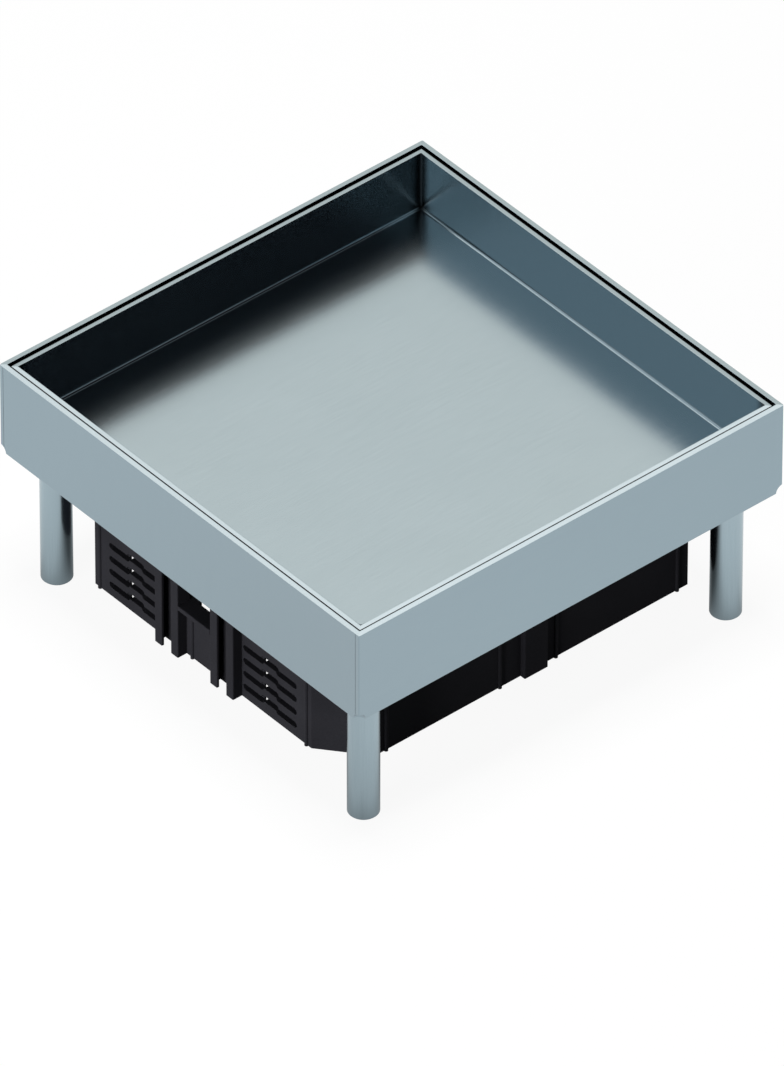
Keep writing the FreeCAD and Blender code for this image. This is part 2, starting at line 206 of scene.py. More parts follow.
class FloorBoxStage(bpy.types.PropertyGroup):
    """Camera, floor and light."""

    azimuth: angle("Azimuth", "Camera's turn round the box", -40.418)
    elevation: angle("Elevation", "Camera's height above the horizon", 39.235)
    roll: angle("Roll", "Camera's turn about its own axis", 0.065)
    distance: length("Distance", "Camera to the middle of the frame's top", 9.0685)
    lens: FloatProperty(name="Lens", description="Focal length for a sensor 36 mm long", unit="CAMERA",
                        default=681.97)
    aim_right: angle("Aim right", "Aim off the middle of the top, to the right", 0.00242)
    aim_down: angle("Aim down", "Aim off the middle of the top, downwards", 0.42172)
    floor_size: length("Floor size", "Side of the square floor", 40.0)
    floor_colour: colour("Floor", "Pale matt floor", "F4F4F4")
    floor_white: fraction("Floor white", "Share of plain white in the floor as it is seen", 0.93)
    floor_bounce: fraction("Floor bounce", "Share of the floor's light that reaches matt sides", 0.06)
    under_from: length("Shade under the box", "Half side of the square where its shade is full", 0.085)
    under_to: length("End of that shade", "Half side of the square where its shade ends", 0.135)
    under_level: fraction("Level under the box", "Level of the floor that the steel mirrors there", 0.1)
    foot_from: length("Shade at a foot", "Distance from a leg's axis where the mirrored shade is full", 0.01)
    foot_to: length("End of a foot's shade", "Distance from a leg's axis where that shade ends", 0.08)
    foot_level: fraction("Level at a foot", "Level of the floor that the steel mirrors there", 0.8)
    # Painted shade on the floor that only the steel mirrors: a soft grey patch beside the slotted end
    mirrored_shade_place: lengths("Grey card place", "Middle of the grey that the slotted end mirrors",
                        (-0.2, -0.06, 0.0))
    mirrored_shade_reach: length("Grey card reach", "Distance over which the mirrored grey fades out", 0.27)
    mirrored_shade_level: fraction("Grey card", "Level of the mirrored grey at its middle", 0.87)
    fill_level: fraction("Fill", "Even light all round, where 1 renders a colour as written", 0.03)
    side_power: power("Side lamp", "Soft lamp low beside the slotted end", 90.0)
    side_place: lengths("Side lamp place", "Middle of the side lamp", (-2.6, -0.3, 0.4))
    side_size: lengths("Side lamp size", "Width and height of the side lamp", (1.6, 0.5))
    top_power: power("Top lamp", "Soft lamp over the box, which lights the floor", 85.0)
    top_place: lengths("Top lamp place", "Middle of the top lamp", (0.0, 0.0, 3.0))
    top_size: lengths("Top lamp size", "Width and height of the top lamp", (1.0, 1.0))


def add_node(tree, kind, inputs=None, **settings):
    """Add a node with its settings, and fill its inputs with values or with links from other sockets."""
    node = tree.nodes.new(kind)
    for name, value in settings.items():
        setattr(node, name, value)
    for socket, value in (inputs or {}).items():
        if isinstance(value, bpy.types.NodeSocket):
            tree.links.new(value, node.inputs[socket])
        else:
            node.inputs[socket].default_value = value
    return node


def new_material(name):
    """Empty node material with its output node."""
    material = bpy.data.materials.new(name)
    material.use_nodes = True
    material.node_tree.nodes.clear()
    return material, material.node_tree, add_node(material.node_tree, "ShaderNodeOutputMaterial")


def rgba(linear_colour, level=1.0):
    """Linear colour at a level, with full alpha."""
    return (*(channel * level for channel in linear_colour), 1.0)


def rolled_stainless(finishes):
    """Cold rolled stainless sheet: a soft cool mirror with faint streaks along the rolling direction.

    The streaks run across the blank, so they climb the two walls that were folded up across it. Real ones are
    about 0.1 mm wide and are drawn several times wider here, so that they show.
    """
    material, tree, output = new_material("Rolled_stainless_sheet")
    place = add_node(tree, "ShaderNodeTexCoord").outputs["Object"]
    normal = add_node(tree, "ShaderNodeNewGeometry").outputs["Normal"]
    facing = add_node(tree, "ShaderNodeSeparateXYZ", {0: normal})
    across = add_node(tree, "ShaderNodeMath", {0: facing.outputs["X"]}, operation="ABSOLUTE").outputs[0]
    upright = add_node(tree, "ShaderNodeMath", {0: across, 1: 0.7}, operation="GREATER_THAN").outputs[0]
    stretch = finishes.sheet_streak
    along = add_node(tree, "ShaderNodeMapping", {"Vector": place, "Scale": (stretch, 1, 1)}).outputs[0]
    climbing = add_node(tree, "ShaderNodeMapping", {"Vector": place, "Scale": (1, 1, stretch)}).outputs[0]
    streaks = add_node(tree, "ShaderNodeMix", {
        0: upright, 4: along, 5: climbing}, data_type="VECTOR").outputs[1]
    grain = add_node(tree, "ShaderNodeTexNoise", {
        "Vector": streaks, "Scale": 1 / finishes.sheet_grain, "Detail": 3.0, "Roughness": 0.6}).outputs["Fac"]
    cloud = add_node(tree, "ShaderNodeTexNoise", {
        "Vector": place, "Scale": 1 / finishes.sheet_cloud, "Detail": 2.0}).outputs["Fac"]
    tone = add_node(tree, "ShaderNodeMath", {
        0: grain, 1: 0.7, 2: 0.15}, operation="MULTIPLY_ADD").outputs[0]
    bare_sheet = add_node(tree, "ShaderNodeMix", {
        0: tone, 6: rgba(finishes.sheet_dull), 7: rgba(finishes.sheet_colour)}, data_type="RGBA").outputs[2]
    # Painted shade on the lid: a dark line along its rim's edge and dark patches down its inner corners
    line, patch = lid_painted_shade(tree, place, finishes)
    # Painted shade of the gap along the edge of the lid's rim
    lined = add_node(tree, "ShaderNodeMix", {
        0: line, 6: bare_sheet, 7: rgba(finishes.painted_gap_shade)}, data_type="RGBA").outputs[2]
    # Painted shade in the lid's inner corners
    base = add_node(tree, "ShaderNodeMix", {
        0: patch, 6: lined, 7: rgba(finishes.painted_corner_shade)}, data_type="RGBA").outputs[2]
    blur = add_node(tree, "ShaderNodeMath", {0: grain, 1: cloud}, operation="ADD").outputs[0]
    roughness = add_node(tree, "ShaderNodeMapRange", {
        "Value": blur, "From Min": 0.6, "From Max": 1.4,
        "To Min": finishes.sheet_roughness - finishes.sheet_unevenness,
        "To Max": finishes.sheet_roughness + finishes.sheet_unevenness}).outputs[0]
    relief = add_node(tree, "ShaderNodeBump", {
        "Strength": 0.005, "Distance": 0.00005, "Height": grain,
        "Normal": bowed_walls(tree, place, normal, finishes)}).outputs[0]
    shader = add_node(tree, "ShaderNodeBsdfPrincipled", {
        "Base Color": base, "Metallic": 1.0, "Roughness": roughness, "Normal": relief})
    tree.links.new(shader.outputs[0], output.inputs["Surface"])
    return material


def bowed_walls(tree, place, normal, finishes):
    """Shading normals of upright faces, leaned towards the middle at a face's ends as in a hollow mirror.

    Only the shading bends: the walls themselves are flat. Level faces are shaded flat too.
    """
    level = add_node(tree, "ShaderNodeSeparateXYZ", {0: normal}).outputs["Z"]
    lying = add_node(tree, "ShaderNodeMath", {0: level}, operation="ABSOLUTE").outputs[0]
    bow = math.tan(finishes.wall_bow) / CAD_BOX[1].x
    lean = add_node(tree, "ShaderNodeMapRange", {"Value": lying, "To Min": -bow, "To Max": 0.0}).outputs[0]
    out = add_node(tree, "ShaderNodeVectorMath", {0: place, 1: (1, 1, 0)}, operation="MULTIPLY").outputs[0]
    tilt = add_node(tree, "ShaderNodeVectorMath", {0: out, "Scale": lean}, operation="SCALE").outputs[0]
    leaning = add_node(tree, "ShaderNodeVectorMath", {0: normal, 1: tilt}, operation="ADD").outputs[0]
    return add_node(tree, "ShaderNodeVectorMath", {0: leaning}, operation="NORMALIZE").outputs[0]


def lid_painted_shade(tree, place, finishes):
    """Shares of painted shade on the lid: a dark line along the edge of its rim, widening the gap's shadow,
    and a soft dark patch in each inner corner.

    The line fades in over half its width. The patch lies above the lid's underside, the gasket's top.
    """
    underside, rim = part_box("lid_gasket")[1].z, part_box("lid_tray")[1]
    wall = rim.x - finishes.lid_sheet
    width = finishes.painted_gap_shade_width
    rim_band = 10 * width
    corner = add_node(tree, "ShaderNodeVectorMath", {0: place}, operation="ABSOLUTE").outputs[0]
    axes = add_node(tree, "ShaderNodeSeparateXYZ", {0: corner})
    level = axes.outputs["Z"]
    sides = {0: axes.outputs["X"], 1: axes.outputs["Y"]}
    far = add_node(tree, "ShaderNodeMath", sides, operation="MAXIMUM").outputs[0]
    near = add_node(tree, "ShaderNodeMath", sides, operation="MINIMUM").outputs[0]
    line = add_node(tree, "ShaderNodeMapRange", {
        "Value": far, "From Min": rim.x - width * 1.25, "From Max": rim.x - width * 0.75},
        interpolation_type="SMOOTHSTEP").outputs[0]
    patch = add_node(tree, "ShaderNodeMapRange", {
        "Value": near, "From Min": wall - finishes.painted_corner_shade_reach, "From Max": wall,
        "To Max": finishes.painted_corner_shade_depth}, interpolation_type="SMOOTHSTEP").outputs[0]
    shares = []
    for darkening, outside, below in (
            (line, rim.x + width, rim.z - rim_band), (patch, wall + width / 2, underside)):
        within = add_node(tree, "ShaderNodeMath", {0: far, 1: outside}, operation="LESS_THAN").outputs[0]
        above = add_node(tree, "ShaderNodeMath", {0: level, 1: below}, operation="GREATER_THAN").outputs[0]
        there = add_node(tree, "ShaderNodeMath", {0: within, 1: above}, operation="MULTIPLY").outputs[0]
        shares.append(add_node(tree, "ShaderNodeMath", {0: darkening, 1: there}, operation="MULTIPLY").outputs[0])
    return shares


def drawn_stainless(finishes):
    """Drawn stainless bar: brighter than the sheet, with fine straight lines along its length.

    Real draw lines are finer than 0.1 mm and are drawn several times wider here, so that they show.
    """
    material, tree, output = new_material("Drawn_stainless_bar")
    place = add_node(tree, "ShaderNodeTexCoord").outputs["Object"]
    lengthways = add_node(tree, "ShaderNodeMapping", {
        "Vector": place, "Scale": (1, 1, finishes.bar_streak)}).outputs[0]
    lines = add_node(tree, "ShaderNodeTexNoise", {
        "Vector": lengthways, "Scale": 1 / finishes.bar_line, "Detail": 3.0, "Roughness": 0.6}).outputs["Fac"]
    tone = add_node(tree, "ShaderNodeMapRange", {
        "Value": lines, "From Min": 0.35, "From Max": 0.65}).outputs[0]
    base = add_node(tree, "ShaderNodeMix", {
        0: tone, 6: rgba(finishes.bar_dull), 7: rgba(finishes.bar_colour)}, data_type="RGBA").outputs[2]
    roughness = add_node(tree, "ShaderNodeMapRange", {
        "Value": lines, "From Min": 0.3, "From Max": 0.7, "To Min": 0.2, "To Max": 0.26}).outputs[0]
    relief = add_node(tree, "ShaderNodeBump", {
        "Strength": 0.05, "Distance": 0.00004, "Height": lines}).outputs[0]
    shader = add_node(tree, "ShaderNodeBsdfPrincipled", {
        "Base Color": base, "Metallic": 1.0, "Roughness": roughness, "Normal": relief})
    tree.links.new(shader.outputs[0], output.inputs["Surface"])
    return material


def zinc_plating(finishes):
    """Bright zinc on steel: a pale satin metal, with the straw bloom of its passivation in soft patches.

    Real crystals of the plating are too fine to see and are drawn coarse here, so that they show.
    """
    material, tree, output = new_material("Zinc_plated_steel")
    place = add_node(tree, "ShaderNodeTexCoord").outputs["Object"]
    bloom = add_node(tree, "ShaderNodeTexNoise", {
        "Vector": place, "Scale": 1 / finishes.plating_bloom, "Detail": 2.0}).outputs["Fac"]
    crystal = add_node(tree, "ShaderNodeTexVoronoi", {
        "Vector": place, "Scale": 1 / finishes.plating_crystal}).outputs["Distance"]
    straw = add_node(tree, "ShaderNodeMapRange", {
        "Value": bloom, "From Min": 0.45, "From Max": 0.75}).outputs[0]
    base = add_node(tree, "ShaderNodeMix", {
        0: straw, 6: rgba(finishes.plating_colour), 7: rgba(finishes.plating_warm)},
        data_type="RGBA").outputs[2]
    roughness = add_node(tree, "ShaderNodeMapRange", {
        "Value": crystal, "From Max": 0.8, "To Min": 0.24, "To Max": 0.36}).outputs[0]
    relief = add_node(tree, "ShaderNodeBump", {
        "Strength": 0.1, "Distance": 0.00003, "Height": crystal}).outputs[0]
    shader = add_node(tree, "ShaderNodeBsdfPrincipled", {
        "Base Color": base, "Metallic": 1.0, "Roughness": roughness, "Normal": relief})
    tree.links.new(shader.outputs[0], output.inputs["Surface"])
    return material


def phosphated_spring_steel(finishes):
    """Phosphated spring steel: dark grey and dull, with a fine crystalline skin.

    Real crystals are some hundredths of a millimetre wide and are drawn wider here, so that they show.
    """
    material, tree, output = new_material("Phosphated_spring_steel")
    place = add_node(tree, "ShaderNodeTexCoord").outputs["Object"]
    skin = add_node(tree, "ShaderNodeTexNoise", {
        "Vector": place, "Scale": 1 / finishes.spring_crystal, "Detail": 3.0}).outputs["Fac"]
    base = add_node(tree, "ShaderNodeMix", {
        0: skin, 6: rgba(finishes.spring_colour, 0.6), 7: rgba(finishes.spring_colour)},
        data_type="RGBA").outputs[2]
    roughness = add_node(tree, "ShaderNodeMapRange", {
        "Value": skin, "To Min": 0.36, "To Max": 0.56}).outputs[0]
    relief = add_node(tree, "ShaderNodeBump", {
        "Strength": 0.15, "Distance": 0.00003, "Height": skin}).outputs[0]
    shader = add_node(tree, "ShaderNodeBsdfPrincipled", {
        "Base Color": base, "Metallic": 0.9, "Roughness": roughness, "Normal": relief})
    tree.links.new(shader.outputs[0], output.inputs["Surface"])
    return material


def moulded_black_plastic(finishes):
    """Injection moulded ABS from a spark eroded mould: black with a faint blue cast and a soft, low sheen.

    The eroded grain is about 0.15 mm on a real moulding and is drawn at several times that, so that it shows.
    """
    material, tree, output = new_material("Moulded_black_ABS")
    place = add_node(tree, "ShaderNodeTexCoord").outputs["Object"]
    grain = add_node(tree, "ShaderNodeTexNoise", {
        "Vector": place, "Scale": 1 / finishes.plastic_grain, "Detail": 2.0, "Roughness": 0.5}).outputs["Fac"]
    flow = add_node(tree, "ShaderNodeTexNoise", {
        "Vector": place, "Scale": 1 / finishes.plastic_flow, "Detail": 1.0}).outputs["Fac"]
    tone = add_node(tree, "ShaderNodeMath", {0: grain, 1: flow}, operation="MULTIPLY").outputs[0]
    shade = add_node(tree, "ShaderNodeMapRange", {
        "Value": tone, "From Min": 0.12, "From Max": 0.4}).outputs[0]
    base = add_node(tree, "ShaderNodeMix", {
        0: shade, 6: rgba(finishes.plastic_colour, 0.78), 7: rgba(finishes.plastic_colour)},
        data_type="RGBA").outputs[2]
    roughness = add_node(tree, "ShaderNodeMapRange", {
        "Value": grain, "To Min": 0.5, "To Max": 0.66}).outputs[0]
    relief = add_node(tree, "ShaderNodeBump", {
        "Strength": 0.2, "Distance": 0.00006, "Height": grain}).outputs[0]
    shader = add_node(tree, "ShaderNodeBsdfPrincipled", {
        "Base Color": base, "Roughness": roughness, "IOR": 1.53, "Specular IOR Level": 0.015,
        "Normal": relief})
    tree.links.new(shader.outputs[0], output.inputs["Surface"])
    return material


def sponge_rubber(finishes):
    """Closed cell sponge rubber: dull black, pitted all over by its cells."""
    material, tree, output = new_material("Sponge_rubber")
    place = add_node(tree, "ShaderNodeTexCoord").outputs["Object"]
    cells = add_node(tree, "ShaderNodeTexVoronoi", {
        "Vector": place, "Scale": 1 / finishes.rubber_cell}).outputs["Distance"]
    base = add_node(tree, "ShaderNodeMix", {
        0: cells, 6: rgba(finishes.rubber_colour, 0.5), 7: rgba(finishes.rubber_colour)},
        data_type="RGBA").outputs[2]
    roughness = add_node(tree, "ShaderNodeMapRange", {
        "Value": cells, "To Min": 0.95, "To Max": 0.75}).outputs[0]
    relief = add_node(tree, "ShaderNodeBump", {
        "Strength": 0.5, "Distance": 0.0002, "Height": cells}).outputs[0]
    shader = add_node(tree, "ShaderNodeBsdfPrincipled", {
        "Base Color": base, "Roughness": roughness, "IOR": 1.5, "Specular IOR Level": 0.3, "Normal": relief})
    tree.links.new(shader.outputs[0], output.inputs["Surface"])
    return material


def dress(nodes, material):
    """Give CAD nodes their finish in every material slot."""
    for name in nodes:
        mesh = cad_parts[name].data
        mesh.materials.clear()
        mesh.materials.append(material)


def clear_selection():
    """Leave edit mode and select nothing."""
    if bpy.context.object and bpy.context.object.mode != "OBJECT":
        bpy.ops.object.mode_set(mode="OBJECT")
    bpy.ops.object.select_all(action="DESELECT")


def select_only(obj, *others):
    """Select these objects and make the first one active."""
    clear_selection()
    for one in (obj, *others):
        one.select_set(True)
    bpy.context.view_layer.objects.active = obj


def turn_bar(x, y, stations, sides):
    """Closed turned bar, extruded and resized from a disc through (radius, level) stations, foot first."""
    clear_selection()
    radius, level = stations[0]
    bpy.ops.mesh.primitive_circle_add(vertices=sides, radius=radius, fill_type="NGON", location=(x, y, level))
    bpy.ops.object.mode_set(mode="EDIT")
    bpy.ops.mesh.select_all(action="SELECT")
    for next_radius, next_level in stations[1:]:
        bpy.ops.mesh.extrude_region_move(TRANSFORM_OT_translate={"value": (0, 0, next_level - level)})
        ratio = next_radius / radius
        bpy.ops.transform.resize(value=(ratio, ratio, 1), center_override=(x, y, next_level))
        radius, level = next_radius, next_level
    bpy.ops.mesh.select_all(action="SELECT")
    bpy.ops.mesh.normals_make_consistent(inside=False)
    bpy.ops.object.mode_set(mode="OBJECT")
    return bpy.context.object


def cut_socket(bar, x, y, across, top, depth):
    """Cut a hexagon socket with a drilled foot into the top of a turned bar."""
    corner = across / math.sqrt(3)
    foot = (corner * DRILL_RADIUS, top - depth - corner * DRILL_DEPTH)
    cutter = turn_bar(x, y, [foot, (corner, top - depth), (corner, top + depth)], 6)
    select_only(bar)
    cut = bar.modifiers.new("Socket", "BOOLEAN")
    cut.operation = "DIFFERENCE"
    cut.solver = "EXACT"
    cut.object = cutter
    bpy.ops.object.modifier_apply(modifier=cut.name)
    bpy.data.objects.remove(cutter)


def wind_thread(x, y, low, high, core, crest, pitch, steps):
    """Closed helical ridge of a thread, from a low start to a high end."""
    clear_selection()
    sink = core - pitch * RIDGE_SINK
    middle = (sink + crest) / 2
    bpy.ops.mesh.primitive_plane_add(size=1, location=(x + middle, y, low), rotation=(math.pi / 2, 0, 0))
    bpy.ops.object.mode_set(mode="EDIT")
    bpy.ops.mesh.select_all(action="SELECT")
    bpy.ops.transform.resize(value=(crest - sink, 1, pitch * RIDGE_FOOT),
                             center_override=(x + middle, y, low))
    ridge = bpy.context.object
    profile = bmesh.from_edit_mesh(ridge.data)
    for vertex in profile.verts:
        vertex.select_set(vertex.co.x > 0)
    profile.select_flush_mode()
    bmesh.update_edit_mesh(ridge.data)
    bpy.ops.transform.resize(value=(1, 1, RIDGE_CREST), center_override=(x + middle, y, low))
    bpy.ops.mesh.select_all(action="SELECT")
    bpy.ops.mesh.delete(type="ONLY_FACE")
    bpy.ops.object.mode_set(mode="OBJECT")
    bpy.ops.object.transform_apply(location=True, rotation=True, scale=True)
    bpy.context.scene.cursor.location = (x, y, low)
    bpy.ops.object.origin_set(type="ORIGIN_CURSOR")
    turns = ridge.modifiers.new("Turns", "SCREW")
    turns.axis = "Z"
    turns.angle = math.tau
    turns.screw_offset = pitch
    turns.iterations = int((high - low) / pitch)
    turns.steps = steps
    turns.render_steps = steps
    bpy.ops.object.modifier_apply(modifier=turns.name)
    bpy.ops.object.mode_set(mode="EDIT")
    bpy.ops.mesh.select_all(action="SELECT")
    bpy.ops.mesh.remove_doubles(threshold=WELD)
    bpy.ops.mesh.fill_holes(sides=4)
    bpy.ops.mesh.normals_make_consistent(inside=False)
    bpy.ops.object.mode_set(mode="OBJECT")
    bpy.context.scene.cursor.location = (0, 0, 0)
    return ridge


def finish_screw(name, bar, ridge, material):
    """Join a turned bar and its thread into one finished piece at the origin."""
    select_only(bar, ridge)
    bpy.ops.object.join()
    bpy.ops.object.transform_apply(location=True, rotation=True, scale=True)
    bpy.ops.object.shade_smooth_by_angle(angle=SMOOTH_TURN)
    bar.name = name
    bar.data.name = name
    bar.data.materials.clear()
    bar.data.materials.append(material)
    return bar


class FLOORBOX_OT_sheet(bpy.types.Operator):
    """Give the folded frame, the tray and the corner gussets their rolled stainless"""

    bl_idname = "floorbox.sheet"
    bl_label = "Finish sheet metal"

    def execute(self, context):
        steel = rolled_stainless(context.scene.floorbox_finishes)
        dress(["frame", "lid_tray", *(f"gusset_{corner}" for corner in CORNERS)], steel)
        return {"FINISHED"}


class FLOORBOX_OT_legs(bpy.types.Operator):
    """Give the four legs their drawn stainless"""

    bl_idname = "floorbox.legs"
    bl_label = "Finish legs"

    def execute(self, context):
        dress([f"leg_{corner}" for corner in CORNERS], drawn_stainless(context.scene.floorbox_finishes))
        return {"FINISHED"}


class FLOORBOX_OT_insert(bpy.types.Operator):
    """Give the moulded insert its black plastic"""

    bl_idname = "floorbox.insert"
    bl_label = "Finish insert"

    def execute(self, context):
        dress(["insert"], moulded_black_plastic(context.scene.floorbox_finishes))
        return {"FINISHED"}


class FLOORBOX_OT_gasket(bpy.types.Operator):
    """Give the gasket under the tray its sponge rubber"""

    bl_idname = "floorbox.gasket"
    bl_label = "Finish gasket"

    def execute(self, context):
        dress(["lid_gasket"], sponge_rubber(context.scene.floorbox_finishes))
        return {"FINISHED"}


class FLOORBOX_OT_fixings(bpy.types.Operator):
    """Give the washers their zinc and the retaining rings their spring steel"""

    bl_idname = "floorbox.fixings"
    bl_label = "Finish washers and rings"

    def execute(self, context):
        finishes = context.scene.floorbox_finishes
        dress(["screw_washers"], zinc_plating(finishes))
        dress([f"retaining_ring_{corner}" for corner in CORNERS], phosphated_spring_steel(finishes))
        return {"FINISHED"}


class FLOORBOX_OT_levelling_screws(bpy.types.Operator):
    """Turn the four levelling screws with their sockets, ring grooves and threads"""

    bl_idname = "floorbox.levelling_screws"
    bl_label = "Model levelling screws"

    def execute(self, context):
        sizes = context.scene.floorbox_screws
        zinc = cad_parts["screw_washers"].data.materials[0]
        head_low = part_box("screw_washers")[1].z
        for corner in CORNERS:
            node = f"levelling_screw_{corner}"
            low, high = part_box(node)
            ring_low, ring_high = (c.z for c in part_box(f"retaining_ring_{corner}"))
            x, y = ((low + high) / 2).xy
            head = (high.x - low.x) / 2
            neck = sizes.levelling_radius - sizes.levelling_groove
            run_out = ring_low - sizes.levelling_pitch
            bar = turn_bar(x, y, [
                (sizes.levelling_core * POINT, low.z),
                (sizes.levelling_core, low.z + sizes.levelling_pitch / 2),
                (sizes.levelling_core, run_out),
                (sizes.levelling_radius, run_out + sizes.levelling_pitch / 2),
                (sizes.levelling_radius, ring_low),
                (neck, ring_low),
                (neck, ring_high),
                (sizes.levelling_radius, ring_high),
                (sizes.levelling_radius, head_low),
                (head, head_low),
                (head, high.z - sizes.levelling_edge),
                (head - sizes.levelling_edge, high.z),
            ], 2 * sizes.thread_steps)
            cut_socket(bar, x, y, sizes.levelling_socket, high.z, sizes.levelling_socket_depth)
            ridge = wind_thread(x, y, low.z + sizes.levelling_pitch, run_out, sizes.levelling_core,
                                sizes.levelling_radius, sizes.levelling_pitch, sizes.thread_steps)
            screw = finish_screw(f"threaded_levelling_screw_{corner}", bar, ridge, zinc)
            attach(screw, f"{corner}_screw")
            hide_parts(node)
        return {"FINISHED"}


class FLOORBOX_OT_insert_screws(bpy.types.Operator):
    """Turn the four screws that hold the insert's rim, with their sockets and threads"""

    bl_idname = "floorbox.insert_screws"
    bl_label = "Model insert screws"

    def execute(self, context):
        sizes = context.scene.floorbox_screws
        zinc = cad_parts["screw_washers"].data.materials[0]
        low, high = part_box("insert_screws")
        reach_x = high.x - sizes.insert_head
        reach_y = high.y - sizes.insert_head
        under = high.z - sizes.insert_head_height
        bar = turn_bar(-reach_x, -reach_y, [
            (sizes.insert_core * POINT, low.z),
            (sizes.insert_core, low.z + sizes.insert_pitch / 2),
            (sizes.insert_core, under),
            (sizes.insert_head, under),
            (sizes.insert_head, high.z - sizes.insert_edge),
            (sizes.insert_head - sizes.insert_edge, high.z),
        ], 2 * sizes.thread_steps)
        cut_socket(bar, -reach_x, -reach_y, sizes.insert_socket, high.z, sizes.insert_socket_depth)
        ridge = wind_thread(-reach_x, -reach_y, low.z + sizes.insert_pitch * 0.6, under, sizes.insert_core,
                            sizes.insert_radius, sizes.insert_pitch, sizes.thread_steps)
        first = finish_screw("threaded_insert_screws", bar, ridge, zinc)
        copies = []
        for step_x, step_y in ((2 * reach_x, 0), (0, 2 * reach_y), (2 * reach_x, 2 * reach_y)):
            select_only(first)
            bpy.ops.object.duplicate(linked=False)
            bpy.ops.transform.translate(value=(step_x, step_y, 0))
            copies.append(bpy.context.object)
        select_only(first, *copies)
        bpy.ops.object.join()
        bpy.ops.object.transform_apply(location=True, rotation=True, scale=True)
        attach(first, "box")
        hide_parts("insert_screws")
        return {"FINISHED"}


def towards(azimuth, elevation):
    """Unit vector from the box to an azimuth, counted from the front, and an elevation."""
    level = math.cos(elevation)
    return Vector((math.sin(azimuth) * level, -math.cos(azimuth) * level, math.sin(elevation)))


def studio_reflections(tree):
    """What the metal mirrors: plain white all round, with the zones laid over it one after another."""
    direction = add_node(tree, "ShaderNodeTexCoord").outputs["Generated"]
    seen = WHITE
    for azimuth, elevation, begin, full, light in MIRRORED_ZONES:
        middle = towards(math.radians(azimuth), math.radians(elevation))
        near = add_node(tree, "ShaderNodeVectorMath", {
            0: direction, 1: middle}, operation="DOT_PRODUCT").outputs[1]
        share = add_node(tree, "ShaderNodeMapRange", {
            "Value": near, "From Min": math.cos(math.radians(begin)),
            "From Max": math.cos(math.radians(full))}, interpolation_type="SMOOTHSTEP").outputs[0]
        seen = add_node(tree, "ShaderNodeMix", {
            0: share, 6: seen, 7: rgba(light)}, data_type="RGBA").outputs[2]
    return seen


